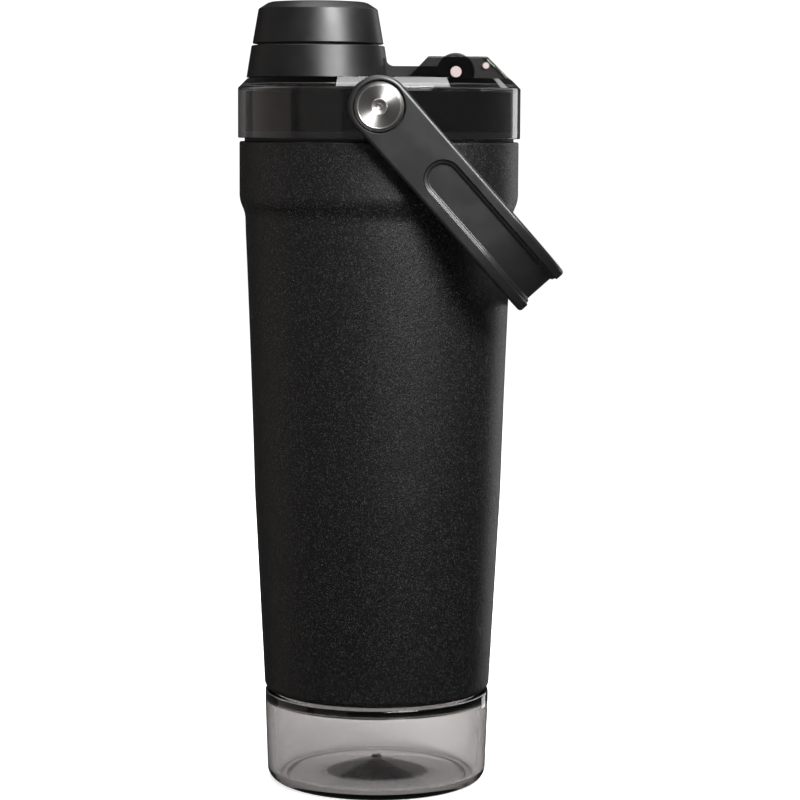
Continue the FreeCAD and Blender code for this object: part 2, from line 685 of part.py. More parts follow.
def cut_from_outside(body, along, radius, depth):
    """Cut a round seat into the outside of both arms, down to a given distance from the middle."""
    for flip in (False, True):
        sketch = draw(body, "XZ_Plane", [(along, 0, radius)])
        sign = 1 if flip else -1
        sketch.setExpression(".AttachmentOffset.Base.z", (depth * sign).formula)
        seat = body.newObject("PartDesign::Pocket", "handle_seat")
        seat.Profile = sketch
        seat.Reversed = flip
        seat.Length = 12.0


def pivot_parts(side, angle):
    """One handle pivot, drawn pointing up along Z and then laid over to the front or the rear."""
    head = handle_inner + handle_thickness
    under = head - rivet_head
    x_axis = FreeCAD.Vector(1, 0, 0)

    insert = new_body(f"{side}_insert")
    turn(insert, rectangle(rivet_shank, insert_radius, insert_depth, pad_face - 0.2))

    washer = new_body(f"{side}_washer")
    turn(washer, rectangle(rivet_shank + 0.1, insert_radius + 0.6, pad_face + 0.02, handle_inner - 0.06))

    rivet = new_body(f"{side}_rivet")
    turn(rivet, [
        (0, insert_depth + 0.2), (rivet_shank, insert_depth + 0.2), (rivet_shank, under),
        (rivet_radius, under), (rivet_radius, head - 0.7), (rivet_radius - 1.0, head),
        (2.5, head), (2.0, head - 0.5), (1.0, head - 0.6), (0.8, head - 1.2), (0, head - 1.2),
    ])
    for body in (insert, washer, rivet):
        place(body, z=pivot_height, axis=x_axis, angle=angle)


# ---------------------------------------------------------------- the assembly

storage_jar()
jar_seal()
base_socket()
outer_shell()
inner_liner()
base_plate()
getter_pill()
lid_gasket()
lid_plug()
lid_shell()
spout()
spout_o_ring()
cap_ring()
cap_knob()
cap_insert()
cap_seal()
cross_pin("hinge_pin", pin_radius, hinge_reach - spout_offset, hinge_height, 0.1)
cross_pin("stop_pin", stop_radius, stop_reach, stop_height, 0.1)
mixing_grid()
handle()
for side, angle in (("front", 90), ("rear", -90)):
    pivot_parts(side, angle)

doc.recompute()

faults = [item.Name for item in doc.Objects if "Invalid" in item.State or "Error" in item.State]
bodies = [item for item in doc.Objects if item.TypeId == "PartDesign::Body"]
for body in bodies:
    shape = body.Shape
    if shape.isNull() or not shape.isValid() or not shape.Solids:
        faults.append(body.Label)
if faults:
    raise SystemExit(f"failed objects: {', '.join(faults)}")

os.makedirs("parts", exist_ok=True)
for body in bodies:
    body.Shape.exportStep(f"parts/{body.Label}.step")
    box = body.Shape.BoundBox
    print(f"{body.Label:14} {len(body.Shape.Solids)} solid, {body.Shape.Volume / 1000:8.2f} cm3, "
          f"x {box.XMin:.1f} to {box.XMax:.1f}, y {box.YMin:.1f} to {box.YMax:.1f}, "
          f"z {box.ZMin:.1f} to {box.ZMax:.1f}")
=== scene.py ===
# %% [markdown]
# # A protein shaker bottle in Blender
#
# The real object is a tall double-wall steel bottle with a matte black powder coat. A smoke-tinted lid screws
# into its mouth, a satin black cap closes the spout, a strap handle swings on two turned rivets, and a clear
# jar for powder screws in under the base. The mechanical model is already made. This lesson puts a finely
# rounded skin on each piece that shows, and gives every piece the finish of its real material.

# %% Load the mechanical model
import json
import math

import bpy
from mathutils import Matrix, Vector


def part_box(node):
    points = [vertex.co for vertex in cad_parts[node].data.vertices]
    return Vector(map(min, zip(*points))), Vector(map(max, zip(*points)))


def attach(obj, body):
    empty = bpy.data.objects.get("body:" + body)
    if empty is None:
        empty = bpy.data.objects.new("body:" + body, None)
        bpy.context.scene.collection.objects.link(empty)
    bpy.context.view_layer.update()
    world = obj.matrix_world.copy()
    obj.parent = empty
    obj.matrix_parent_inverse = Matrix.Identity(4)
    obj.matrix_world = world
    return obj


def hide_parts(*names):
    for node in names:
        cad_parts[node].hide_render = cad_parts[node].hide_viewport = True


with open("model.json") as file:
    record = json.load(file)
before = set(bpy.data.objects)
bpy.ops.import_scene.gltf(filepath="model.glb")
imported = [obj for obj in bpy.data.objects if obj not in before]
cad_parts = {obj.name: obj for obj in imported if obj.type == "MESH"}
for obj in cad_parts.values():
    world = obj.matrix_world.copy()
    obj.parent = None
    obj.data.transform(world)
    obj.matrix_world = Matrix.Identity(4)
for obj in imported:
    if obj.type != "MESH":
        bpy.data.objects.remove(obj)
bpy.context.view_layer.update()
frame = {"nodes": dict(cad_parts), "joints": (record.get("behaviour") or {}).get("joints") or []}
MM = 0.001

# %% [markdown]
# Sizes come from the loaded model where it knows them. A piece's box gives its heights and radii, and a
# joint's position gives an axis. Everything below is written in millimetres and turned to metres at the end,
# because a bottle is easier to think of in millimetres.

# %% Read the main sizes and axes
def box_mm(node):
    """Lowest and highest corner of a piece of the mechanical model, in millimetres."""
    low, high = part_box(node)
    return Vector(low) / MM, Vector(high) / MM


def axis_mm(joint):
    """A point on a joint's axis, in millimetres."""
    places = [Vector(entry["pos_m"]) for entry in frame["joints"] if entry["name"] == joint]
    return places[0] / MM


_, jar_high = box_mm("storage_jar")
body_low, body_high = box_mm("outer_shell")
lid_low, lid_high = box_mm("lid_shell")
_, plug_high = box_mm("lid_plug")
_, ring_high = box_mm("cap_ring")
knob_low, knob_high = box_mm("cap_knob")
stop = sum(box_mm("stop_pin"), Vector()) / 2
pivot = axis_mm("handle_swing")
hinge = axis_mm("cap_flip")
cap_axis = axis_mm("cap_lock")
print("pivot", pivot, "hinge", hinge, "cap axis", cap_axis)

# %% [markdown]
# Round things are drawn as half a cross-section and spun, as on a lathe. A sharp corner never catches the
# light, so the outline helper rounds any corner that is given a radius.

# %% Draw an outline with rounded corners
def rounded(corners, steps=5):
    """Corners as (x, y) or (x, y, radius); a radius turns that corner into an arc."""
    points = []
    count = len(corners)
    for i, corner in enumerate(corners):
        here = Vector(corner[:2])
        if len(corner) == 2:
            points.append(here)
            continue
        back = (Vector(corners[i - 1][:2]) - here).normalized()
        ahead = (Vector(corners[(i + 1) % count][:2]) - here).normalized()
        half = back.angle(ahead) / 2
        centre = here + (back + ahead).normalized() * (corner[2] / math.sin(half))
        first = here + back * (corner[2] / math.tan(half)) - centre
        last = here + ahead * (corner[2] / math.tan(half)) - centre
        for step in range(steps + 1):
            turned = first.lerp(last, step / steps).normalized() * corner[2]
            points.append(centre + turned)
    return points


def bowed(start, finish, radius, steps=24):
    """Points after start and before finish on a shallow arc; it bulges to the right of the way, or with a
    negative radius to the left."""
    start, finish = Vector(start), Vector(finish)
    chord = finish - start
    side = Vector((chord.y, -chord.x)).normalized()
    rise = math.copysign(abs(radius) - math.sqrt(radius ** 2 - chord.length ** 2 / 4), radius)
    points = []
    for step in range(1, steps):
        share = step / steps
        points.append(tuple(start + chord * share + side * rise * 4 * share * (1 - share)))
    return points


print("a rounded square has", len(rounded([(0, 0, 1), (4, 0, 1), (4, 4, 1), (0, 4, 1)])), "points")

# %% [markdown]
# These helpers wrap the operators that a person would click: spin an outline, extrude a flat shape, and cut or
# join two solids. An operator acts on everything that is selected, and loading the model leaves its pieces
# selected, so each helper starts with nothing selected.

# %% Modelling helpers
WELD = 0.002  # points closer than this, in millimetres, become one
PAST = 2.0    # a cutting tool stands this far past the face that it cuts


def new_piece(name, points, edges=(), faces=()):
    """A mesh object from points in millimetres, alone in the selection."""
    mesh = bpy.data.meshes.new(name)
    mesh.from_pydata([Vector(point) * MM for point in points], edges, faces)
    piece = bpy.data.objects.new(name, mesh)
    bpy.context.scene.collection.objects.link(piece)
    only(piece)
    return piece


def only(piece):
    """Select one object and make it active."""
    bpy.ops.object.select_all(action="DESELECT")
    piece.select_set(True)
    bpy.context.view_layer.objects.active = piece


def tidy_mesh():
    """In edit mode: weld what coincides and turn every face outwards."""
    bpy.ops.mesh.select_all(action="SELECT")
    bpy.ops.mesh.remove_doubles(threshold=WELD * MM)
    bpy.ops.mesh.normals_make_consistent(inside=False)
    bpy.ops.object.mode_set(mode="OBJECT")


def lathe(name, outline, centre_x=0.0, steps=256):
    """Spin an outline of (radius, height). It is closed unless both of its ends lie on the axis."""
    points = [(radius, 0, height) for radius, height in outline]
    edges = [(i, i + 1) for i in range(len(points) - 1)]
    if outline[0][0] > 0 or outline[-1][0] > 0:
        edges.append((len(points) - 1, 0))
    piece = new_piece(name, points, edges)
    bpy.ops.object.mode_set(mode="EDIT")
    bpy.ops.mesh.select_all(action="SELECT")
    bpy.ops.mesh.spin(steps=steps, angle=2 * math.pi, center=(0, 0, 0), axis=(0, 0, 1))
    tidy_mesh()
    piece.data.transform(Matrix.Translation((centre_x * MM, 0, 0)))
    return piece


def prism(name, corners, low, high, axis="Y"):
    """Extrude a flat outline from low to high. On axis Y the corners are (x, z), on axis Z (x, y)."""
    if axis == "Y":
        points = [(x, low, z) for x, z in corners]
        way = Vector((0, high - low, 0))
    else:
        points = [(x, y, low) for x, y in corners]
        way = Vector((0, 0, high - low))
    piece = new_piece(name, points, faces=[tuple(range(len(points)))])
    bpy.ops.object.mode_set(mode="EDIT")
    bpy.ops.mesh.select_all(action="SELECT")
    bpy.ops.mesh.extrude_region_move(TRANSFORM_OT_translate={"value": way * MM})
    tidy_mesh()
    return piece


def layered(name, layers):
    """A solid through a stack of (outline, height), lowest first; all outlines have as many corners."""
    count = len(layers[0][0])
    points = [(x, y, height) for outline, height in layers for x, y in outline]
    faces = [tuple(range(count)), tuple(range(len(points) - count, len(points)))]
    for level in range(len(layers) - 1):
        for i in range(count):
            a, b = level * count + i, level * count + (i + 1) % count
            faces.append((a, b, b + count, a + count))
    piece = new_piece(name, points, faces=faces)
    bpy.ops.object.mode_set(mode="EDIT")
    tidy_mesh()
    return piece


def circle(x, y, radius, steps=64):
    """The corners of a circle."""
    turns = [2 * math.pi * step / steps for step in range(steps)]
    return [(x + radius * math.cos(turn), y + radius * math.sin(turn)) for turn in turns]


def combine(piece, tool, how="DIFFERENCE"):
    """Cut piece with tool, join them or keep what they share; the tool is used up."""
    only(piece)
    modifier = piece.modifiers.new("combine", "BOOLEAN")
    modifier.operation = how
    modifier.solver = "EXACT"
    modifier.object = tool
    bpy.ops.object.modifier_apply(modifier=modifier.name)
    bpy.data.meshes.remove(tool.data)
    return piece


def soften(piece, width, segments=3, angle=28):
    """Round every edge sharper than angle."""
    only(piece)
    modifier = piece.modifiers.new("soften", "BEVEL")
    modifier.width = width * MM
    modifier.segments = segments
    modifier.limit_method = "ANGLE"
    modifier.angle_limit = math.radians(angle)
    modifier.use_clamp_overlap = True
    bpy.ops.object.modifier_apply(modifier=modifier.name)
    return piece


def smooth(piece, angle=40):
    """Smooth shading, with the large flat faces kept flat."""
    only(piece)
    bpy.ops.object.shade_smooth_by_angle(angle=math.radians(angle))
    modifier = piece.modifiers.new("flat faces stay flat", "WEIGHTED_NORMAL")
    modifier.keep_sharp = True
    bpy.ops.object.modifier_apply(modifier=modifier.name)
    print(f"{piece.name}: {len(piece.data.polygons)} faces")
    return piece


print("points within", WELD, "mm of each other are welded")

# %% [markdown]
# Colours are written as the hex values a designer would use, which are in sRGB. Blender's shaders work in
# linear light, so one function converts them. One more adds a node with its settings and links, and every
# material below is built with it.

# %% Colour helper
def linear(colour):
    """An sRGB hex colour as linear RGBA."""
    parts = [int(colour[i:i + 2], 16) / 255 for i in (1, 3, 5)]
    return [(c / 12.92 if c <= 0.04045 else ((c + 0.055) / 1.055) ** 2.4) for c in parts] + [1.0]


print("middle grey #808080 is", round(linear("#808080")[0], 3), "in linear light")

# %% Node helpers
def add_node(material, kind, settings=None, links=None):
    """Add a node, set its properties or sockets, and link sockets from other nodes' outputs."""
    node = material.node_tree.nodes.new(kind)
    for name, value in (settings or {}).items():
        if isinstance(name, str) and hasattr(node, name):
            setattr(node, name, value)
        else:
            node.inputs[name].default_value = value
    for name, source in (links or {}).items():
        material.node_tree.links.new(source, node.inputs[name])
    return node


def new_material(name, settings, links=None):
    """A material with one Principled shader."""
    material = bpy.data.materials.new(name)
    material.use_nodes = True
    material.node_tree.nodes.clear()
    shader = add_node(material, "ShaderNodeBsdfPrincipled", settings)
    output = add_node(material, "ShaderNodeOutputMaterial", links={"Surface": shader.outputs[0]})
    return material, shader, output


def object_place(material):
    """The place on the object, in metres."""
    return add_node(material, "ShaderNodeTexCoord").outputs["Object"]


def grain(material, size_mm, detail=2.0):
    """Noise whose blobs are about size_mm across."""
    settings = {"Scale": 1 / (size_mm * MM), "Detail": detail, "Roughness": 0.55}
    return add_node(material, "ShaderNodeTexNoise", settings, {"Vector": object_place(material)}).outputs[0]


def bump(material, shader, height, depth_mm, strength=1.0):
    """Drive a shader's normal from a height that stands depth_mm proud at most."""
    settings = {"Strength": strength, "Distance": depth_mm * MM}
    normal = add_node(material, "ShaderNodeBump", settings, {"Height": height}).outputs[0]
    material.node_tree.links.new(normal, shader.inputs["Normal"])


def ramp(material, value, low, high, low_out, high_out):
    """Map a value from one range to another, smoothly and clamped."""
    settings = {"interpolation_type": "SMOOTHSTEP", 1: low, 2: high, 3: low_out, 4: high_out}
    return add_node(material, "ShaderNodeMapRange", settings, {0: value}).outputs[0]


# %% [markdown]
# ## Powder coat
#
# The steel body is sprayed with dry polyester powder and baked. The grains melt into a matte skin like fine
# sandpaper: black, with a broad dim highlight that breaks into tiny sparkles. Two sizes of noise give the
# grain, and the coarse one is drawn a little larger than life so that it still shows from arm's length. The
# sparkles are painted glints: a few cells of a fine pattern are painted lighter in the base colour.

# %% Powder coat material
powder_coat, powder_shader, _ = new_material("powder_coat_on_steel", {
    "Base Color": linear("#080809"), "Roughness": 0.42, "IOR": 1.5, "Specular IOR Level": 0.46,
})
coarse = grain(powder_coat, 0.55)
fine = grain(powder_coat, 0.22, 1.0)
grains = add_node(powder_coat, "ShaderNodeMath", {"operation": "ADD"}, {0: coarse, 1: fine}).outputs[0]
bump(powder_coat, powder_shader, grains, 0.12, 0.45)
powder_coat.node_tree.links.new(ramp(powder_coat, coarse, 0.3, 0.75, 0.48, 0.34),
                                powder_shader.inputs["Roughness"])
PAINTED_GLINT_CELL = 0.3  # millimetres across a painted glint; the real glints are finer and would not show
# Painted glints: the few brightest cells of this pattern get a lighter base colour that stands in for sparkle
# of light.
cells = add_node(powder_coat, "ShaderNodeTexVoronoi", {"Scale": 1 / (PAINTED_GLINT_CELL * MM)},
                 {"Vector": object_place(powder_coat)}).outputs["Color"]
painted_glint_mask = ramp(powder_coat, cells, 0.6, 1.0, 0.0, 1.0)
coat_colour_with_painted_glints = add_node(powder_coat, "ShaderNodeMix", {
    "data_type": "RGBA", 6: linear("#050506"), 7: linear("#262627"),
}, {0: painted_glint_mask}).outputs[2]
powder_coat.node_tree.links.new(coat_colour_with_painted_glints, powder_shader.inputs["Base Color"])
print("powder coat made")

# %% [markdown]
# ## Moulded plastics
#
# The cap, its ring and the handle are polypropylene from a steel mould with a fine spark-eroded texture, so
# they look satin: black, with a soft grey highlight that is narrower and dimmer on the cap, whose mould is
# finer. The texture is really about 0.1 mm and is drawn two or three times coarser, so that it shows. The
# hidden mouldings are the same plastic from a plainer mould. The sleeve in the lid is filled with carbon and
# left matte, so it drinks nearly all light. Silicone seals are dull with a soft sheen, and the nylon washers
# have the ivory tone of plastic without dye.

# %% Satin, plain, matte and silicone materials
HANDLED_PATCH = 9.0  # millimetres across a patch that hands have rubbed a little smoother


def moulded(name, colour, roughness, texture_mm, depth_mm, gloss=0.5):
    """Black plastic or rubber with the fine texture of its mould."""
    material, shader, _ = new_material(name, {
        "Base Color": linear(colour), "Roughness": roughness, "IOR": 1.49, "Specular IOR Level": gloss,
    })
    bump(material, shader, grain(material, texture_mm), depth_mm, 0.5)
    handled = grain(material, HANDLED_PATCH)
    rough = ramp(material, handled, 0.35, 0.7, roughness - 0.03, roughness + 0.04)
    material.node_tree.links.new(rough, shader.inputs["Roughness"])
    return material


satin_black = moulded("satin_moulded_polypropylene", "#101011", 0.42, 0.28, 0.02)
cap_black = moulded("fine_satin_polypropylene", "#0c0c0d", 0.4, 0.22, 0.02, 0.34)
plain_black = moulded("plain_moulded_polypropylene", "#161617", 0.45, 0.4, 0.03)
sleeve_black, _, _ = new_material("matte_carbon_filled_plastic", {
    "Base Color": linear("#0a0b0d"), "Roughness": 0.7, "IOR": 1.49, "Specular IOR Level": 0.04,
})
silicone = moulded("black_silicone_rubber", "#141414", 0.62, 0.5, 0.04)
nylon = moulded("natural_nylon", "#b9b6ac", 0.5, 0.4, 0.02)
print("plastics made")

# %% [markdown]
# ## Smoke copolyester
#
# The lid's shell and the jar are clear copolyester with a little black dye, polished in the mould. Light
# passes through and is absorbed on its way, so a thick wall is darker than a thin one. That is what an
# absorbing volume inside a clear surface does. The lid has far more dye than the jar.

# %% Smoke materials
def smoke(name, colour, density):
    """Clear plastic, polished in its mould, with dye in it."""
    material, _, output = new_material(name, {
        "Base Color": linear("#ffffff"), "Roughness": 0.015, "IOR": 1.55, "Transmission Weight": 1.0,
    })
    dye = add_node(material, "ShaderNodeVolumeAbsorption", {"Color": linear(colour), "Density": density})
    material.node_tree.links.new(dye.outputs[0], output.inputs["Volume"])
    return material


smoke_lid = smoke("dark_smoke_copolyester", "#463a39", 420.0)
smoke_jar = smoke("light_smoke_copolyester", "#8b8482", 300.0)
print("smoke plastics made")

# %% [markdown]
# ## Metals
#
# Stainless steel shows mostly how it was cut. The rivet heads are faced on a lathe, which leaves rings round
# the centre: they stretch a highlight across the rings, into the bright bow tie of a turned face. The shader
# needs to know which way the light spreads, so the tangent points straight out from the rivet's axis. The
# rings are really a tenth of a millimetre apart and are drawn three times coarser, so that they show. Polished
# steel mirrors softly, ground pins are a little duller, machined brass is warm, and the getter, a pressed
# metal powder, is grey and rough.

# %% Metal materials
def metal(name, colour, roughness, texture_mm=0.6, depth_mm=0.01):
    """Metal with a fine uneven polish."""
    material, shader, _ = new_material(name, {
        "Base Color": linear(colour), "Metallic": 1.0, "Roughness": roughness,
    })
    bump(material, shader, grain(material, texture_mm), depth_mm, 0.4)
    return material


def turned_metal(name, colour, axis_x, axis_z, ring_mm):
    """Metal faced on a lathe whose axis runs along Y through axis_x, axis_z."""
    material, shader, _ = new_material(name, {
        "Base Color": linear(colour), "Metallic": 1.0, "Roughness": 0.3, "Anisotropic": 0.85,
    })
    centre = (axis_x * MM, 0, axis_z * MM)
    arm = add_node(material, "ShaderNodeVectorMath", {"operation": "SUBTRACT", 1: centre},
                   {0: object_place(material)}).outputs[0]
    flat = add_node(material, "ShaderNodeVectorMath", {"operation": "MULTIPLY", 1: (1, 0, 1)}, {0: arm})
    material.node_tree.links.new(flat.outputs[0], shader.inputs["Tangent"])
    radius = add_node(material, "ShaderNodeVectorMath", {"operation": "LENGTH"},
                      {0: flat.outputs[0]}).outputs["Value"]
    turns = add_node(material, "ShaderNodeMath", {"operation": "MULTIPLY", 1: 2 * math.pi / (ring_mm * MM)},
                     {0: radius}).outputs[0]
    rings = add_node(material, "ShaderNodeMath", {"operation": "SINE"}, {0: turns}).outputs[0]
    bump(material, shader, rings, 0.004, 0.5)
    return material


turned_steel = turned_metal("turned_stainless_steel", "#cfcdca", pivot.x, pivot.z, 0.32)
bare_steel = metal("polished_stainless_steel", "#c9c6c2", 0.28)
pin_steel = metal("ground_pin_steel", "#b9a9a6", 0.4)
brass = metal("machined_brass", "#c9a24e", 0.3)
getter_metal = metal("sintered_getter", "#6b6762", 0.7, 0.3, 0.05)
print("metals made")

# %% [markdown]
# ## The steel body
#
# The outer wall is one sheet of steel, drawn deep and spun. Its foot is rounded. Its side is a slim cone that
# grows slimmer still at the knee and hollows by a hair above it, and near the top it swells to a wider band
# that the hand feels as a stop. The lip turns inwards to meet the liner. One outline with both sides of the
# sheet, spun once, gives all of it.

# %% Outer wall
SHEET, FOOT_TURN, FOOT_ROUND, LIP_BORE = 0.8, 2.4, 2.2, 40.9
foot, lip, band = body_low.z, body_high.z, body_high.y
foot_edge, knee, waist, band_foot = 35.95, (39.2, 93.4), (42.2, 179.5), 187.7
HOLLOW, KNEE_ROUND, SWELL, SWELL_RISE = 5300.0, 250.0, 9.7, 2.15


def wall_outline(inset):
    """The wall's outside from foot to lip, moved inwards by the sheet's thickness for its inside."""
    low, high = (knee[0] - inset, knee[1]), (waist[0] - inset, waist[1])
    return [(foot_edge - inset, foot + inset, FOOT_ROUND - inset), (*low, KNEE_ROUND),
            *bowed(low, high, -HOLLOW), (waist[0] - inset, waist[1] + SWELL_RISE, SWELL + inset),
            (band - inset, band_foot - SWELL_RISE, SWELL - inset),
            (band - inset, lip - inset, 0.6 if inset == 0 else 0.1)]


body_skin = lathe("body_skin", rounded(
    [(foot_edge - FOOT_TURN, foot)] + wall_outline(0) + [(LIP_BORE, lip), (LIP_BORE, lip - SHEET)]
    + wall_outline(SHEET)[::-1] + [(foot_edge - FOOT_TURN, foot + SHEET)], 8))
smooth(body_skin)
body_skin.data.materials.append(powder_coat)
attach(body_skin, "bottle")
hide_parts("outer_shell")

# %% [markdown]
# ## The storage jar
#
# The jar is one injection-moulded piece: a heavy wall, a rounded foot, a floor that rises to a low cone so that
# the jar stands on a ring, and a small mark at the floor's middle where the plastic flowed in. Its neck
# carries a screw thread. Both sides of the wall are modelled, because a clear piece is seen through, and the
# thread is a ridge that climbs round the neck.

# %% Jar
def thread_ridge(name, wall, start, lead, turns, depth, root=2.0, crest=1.0, per_turn=96):
    """A ridge that climbs round a wall; a negative depth stands inwards."""
    sink = math.copysign(0.2, depth)
    section = [(wall - sink, -root / 2), (wall + depth, -crest / 2), (wall + depth, crest / 2),
               (wall - sink, root / 2)]
    steps = round(turns * per_turn)
    points, faces = [], []
    for step in range(steps + 1):
        turn = 2 * math.pi * step / per_turn
        for radius, height in section:
            rise = start + height + lead * step / per_turn
            points.append((radius * math.cos(turn), radius * math.sin(turn), rise))
    for step in range(steps):
        for i in range(4):
            a, b = step * 4 + i, step * 4 + (i + 1) % 4
            faces.append((a, b, b + 4, a + 4))
    faces += [(0, 1, 2, 3), tuple(steps * 4 + i for i in range(4))]
    ridge = new_piece(name, points, faces=faces)
    bpy.ops.object.mode_set(mode="EDIT")
    tidy_mesh()
    return ridge


THREAD_START, THREAD_LEAD, THREAD_TURNS, THREAD_DEPTH = 4.6, 4.0, 1.25, 1.35
jar_radius, shoulder, neck = jar_high.y, 29.2, 29.6
JAR_WALL, JAR_BORE, SHOULDER_SHEET = 2.8, 26.8, 2.0
JAR_FOOT, JAR_RISE, JAR_FLOOR, FLOOR_EDGE = 34.95, 5.0, 1.9, 2.3
GATE_MARK = 0.4
jar_inside, floor_top = jar_radius - JAR_WALL, JAR_RISE + JAR_FLOOR
jar = lathe("jar_moulding", rounded([
    (0, JAR_RISE), (28.6, 0.3, 0.5), (28.9, 0, 0.2), (JAR_FOOT, 0, 3.85),
    (jar_radius, shoulder - 4.0, 20.0), (jar_radius, shoulder, 0.8), (neck, shoulder, 0.4),
    (neck, jar_high.z, 0.5), (JAR_BORE, jar_high.z, 0.5), (JAR_BORE, shoulder - SHOULDER_SHEET, 1.4),
    (jar_inside, shoulder - SHOULDER_SHEET, 2.0), (JAR_FOOT - JAR_WALL, FLOOR_EDGE, 2.2),
    (27.0, FLOOR_EDGE, 6.0), (1.7, floor_top - 0.3, 0.5), (1.4, floor_top + GATE_MARK, 0.2),
    (0, floor_top + GATE_MARK),
], 8))
thread = thread_ridge("jar_thread", neck, shoulder + THREAD_START, THREAD_LEAD, THREAD_TURNS, THREAD_DEPTH)
combine(jar, thread, "UNION")
smooth(jar)
jar.data.materials.append(smoke_jar)
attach(jar, "jar")
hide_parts("storage_jar")

# %% [markdown]
# ## The lid's shell
#
# The shell is a ring with a deck on top, joined by a chamfer that catches the overhead light. Two ears stand
# on the deck and hold the hinge pin; their outer ends follow the chamfer's cone. The shell is spun, the ears
# are extruded and trimmed by a cone, and then all are joined to one solid, so that light crosses no hidden
# walls inside the plastic.

# %% Collar and deck
collar, collar_foot, ear_top = lid_high.x, lid_low.z, lid_high.z
CHAMFER, DECK_SHEET, COLLAR_WALL, deck = 3.0, 2.4, 2.2, 223.7
shell = lathe("lid_moulding", rounded([
    (0, deck - DECK_SHEET), (collar - COLLAR_WALL, deck - DECK_SHEET, 1.4),
    (collar - COLLAR_WALL, collar_foot), (collar, collar_foot, 0.35), (collar, deck - CHAMFER, 0.3),
    (collar - CHAMFER, deck, 0.3), (0, deck),
]))
print("collar", round(2 * collar, 1), "mm across, deck at", deck)


def rod(name, x, z, radius, low, high, steps=96):
    """A round bar along Y."""
    return prism(name, circle(x, z, radius, steps), low, high)


# %% Ears that hold the hinge pin
EAR_IN, EAR_OUT, EAR_SINK, EAR_ROUND = 7.0, 11.0, 0.6, 0.28
EAR_FRONT, EAR_SLOPE_TOP, EAR_BACK = 8.0, 15.2, 44.0
TRIM_DROP, TRIM_RISE = 4.0, 1.0
trim_low = collar + 0.98
trim_high = collar - CHAMFER + deck - ear_top - 1.02
for side in (-1, 1):
    low, high = sorted((side * EAR_IN, side * EAR_OUT))
    ear = prism("ear", [(EAR_FRONT, deck - EAR_SINK), (EAR_BACK, deck - EAR_SINK), (EAR_BACK, ear_top),
                        (EAR_SLOPE_TOP, ear_top)], low, high)
    cone = lathe("ear_trim", [(0, deck - TRIM_DROP), (trim_low, deck - TRIM_DROP),
                              (trim_high, ear_top + TRIM_RISE), (0, ear_top + TRIM_RISE)])
    combine(ear, cone, "INTERSECT")
    soften(ear, EAR_ROUND)
    combine(shell, ear, "UNION")
print("ears stand", round(ear_top - deck, 1), "mm above the deck")

# %% Pocket, bores and pivot seats
BLOCK_HALF, BLOCK_DROP, BLOCK_TOP, BLOCK_SIDE = 7.6, 5.3, 1.0, 8.4
POCKET, POCKET_SIDE = 6.35, 6.8
PIN_BORE, STOP_BORE, BORE_REACH = 1.7, 1.0, 12.0
SPOUT_BORE, SPOUT_CUT = 14.85, (215.0, 226.0)
PIVOT_STEPS = ((6.5, 37.6, 43.45), (5.6, 40.0, 44.6))  # radius, and where each step starts and ends
INSERT_BORE, INSERT_CUT = 4.83, (37.0, 46.0)
block = [(hinge.x - BLOCK_HALF, deck - BLOCK_DROP), (hinge.x + BLOCK_HALF, deck - BLOCK_DROP),
         (hinge.x + BLOCK_HALF, deck - BLOCK_TOP), (hinge.x - BLOCK_HALF, deck - BLOCK_TOP)]
combine(shell, prism("pocket_block", block, -BLOCK_SIDE, BLOCK_SIDE), "UNION")
combine(shell, rod("pocket", hinge.x, hinge.z, POCKET, -POCKET_SIDE, POCKET_SIDE))
combine(shell, rod("pin_bore", hinge.x, hinge.z, PIN_BORE, -BORE_REACH, BORE_REACH, 48))
combine(shell, rod("stop_bore", stop.x, stop.z, STOP_BORE, -BORE_REACH, BORE_REACH, 48))
combine(shell, prism("spout_bore", circle(cap_axis.x, 0, SPOUT_BORE, 128), *SPOUT_CUT, "Z"))
for side in (-1, 1):
    for radius, inner, outer in PIVOT_STEPS:
        low, high = sorted((side * inner, side * outer))
        combine(shell, rod("pivot_seat", pivot.x, pivot.z, radius, low, high), "UNION")
    low, high = sorted((side * INSERT_CUT[0], side * INSERT_CUT[1]))
    combine(shell, rod("insert_bore", pivot.x, pivot.z, INSERT_BORE, low, high))
smooth(shell, 32)
shell.data.materials.append(smoke_lid)
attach(shell, "lid")
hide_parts("lid_shell")

# %% [markdown]
# Inside the collar the lid's black inner moulding stands up as a sleeve. It is why the tinted collar looks
# nearly black, while the ears, with nothing behind them, let the light through.

# %% Sleeve inside the collar
SLEEVE_GAP, SLEEVE_WALL, SLEEVE_SINK, SLEEVE_DROP, SLEEVE_ROUND = 0.15, 1.2, 0.4, 1.7, 0.4
SLEEVE_WINDOW, WINDOW_REACH = 6.7, 46.0
sleeve_outer, sleeve_foot = collar - COLLAR_WALL - SLEEVE_GAP, plug_high.z - SLEEVE_SINK
sleeve_inner, sleeve_top = sleeve_outer - SLEEVE_WALL, deck - DECK_SHEET - SLEEVE_DROP
sleeve = lathe("plug_sleeve", rounded([
    (sleeve_inner, sleeve_foot), (sleeve_outer, sleeve_foot),
    (sleeve_outer, sleeve_top, SLEEVE_ROUND), (sleeve_inner, sleeve_top, SLEEVE_ROUND),
]))
combine(sleeve, rod("sleeve_window", pivot.x, pivot.z, SLEEVE_WINDOW, -WINDOW_REACH, WINDOW_REACH))
smooth(sleeve)
sleeve.data.materials.append(sleeve_black)
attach(sleeve, "lid")

# %% [markdown]
# ## The cap, its ring and the arm
#
# The cap is two satin black pieces with a shadow line between them. The upper one turns. The lower one is a
# ring that stays put, and an arm grows out of it in a small fillet and ends in the hinge's knuckle. Both are
# slightly conical, so that they leave their moulds.

